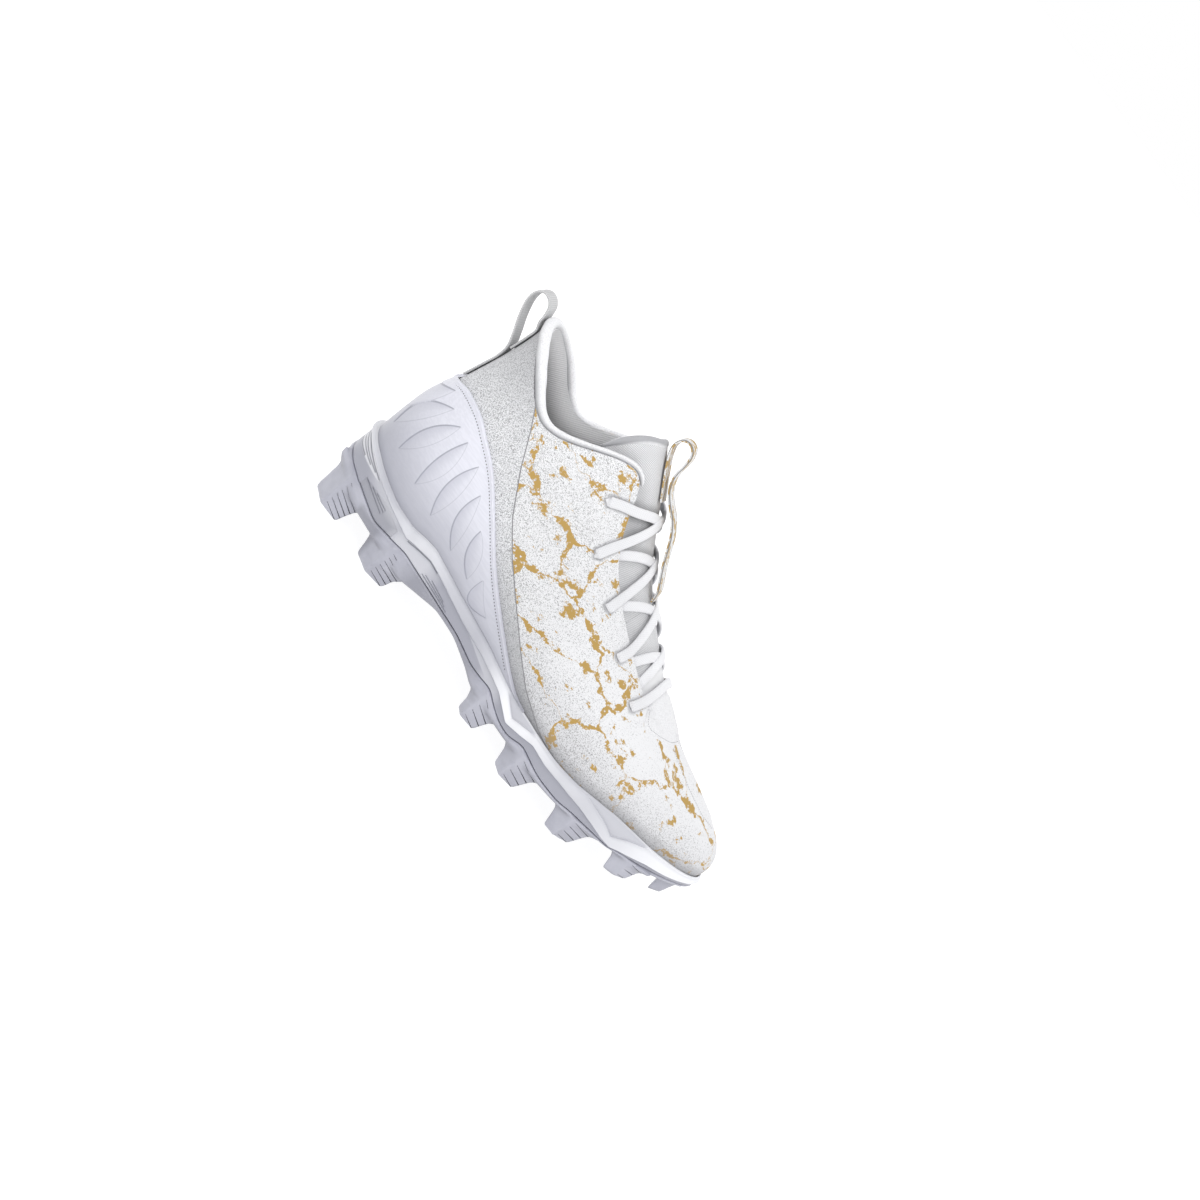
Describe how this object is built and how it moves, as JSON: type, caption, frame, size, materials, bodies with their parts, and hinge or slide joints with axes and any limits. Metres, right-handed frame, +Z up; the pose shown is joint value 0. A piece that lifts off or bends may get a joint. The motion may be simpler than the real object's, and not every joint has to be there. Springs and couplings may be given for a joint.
{
  "type": "football cleat",
  "caption": "Mid-height right football cleat: hollow printed knit upper with heel counter, tongue, laces and pull loops on a moulded sole with blade studs.",
  "frame": {"origin": "under the middle of the whole shoe's bounding box, on the floor", "axes": "+X from heel to toe, +Y to the inner side of the foot, +Z up"},
  "size_m": [0.295, 0.1022, 0.1706],
  "materials": {
    "sole_shell": "satin pale grey moulded plastic",
    "sole_rim": "satin near-white moulded plastic",
    "footbed": "grey cloth-topped foam",
    "knit_print": "white coated knit with a gold print",
    "counter_film": "satin moulded film",
    "collar_knit": "smooth white padded knit",
    "tongue_mesh": "fine white mesh",
    "webbing": "woven tape",
    "lace": "woven white lace"
  },
  "bodies": {
    "root": {"outsole": "sole_shell", "midsole": "sole_rim", "insole": "footbed", "upper": "knit_print", "heel_counter": "counter_film", "collar_roll": "collar_knit", "tongue": "tongue_mesh", "tongue_strap": "webbing", "heel_strap": "webbing", "lace_crossing_1": "lace", "lace_crossing_2": "lace", "lace_crossing_3": "lace", "lace_crossing_4": "lace", "lace_bar": "lace"}
  },
  "joints": []
}
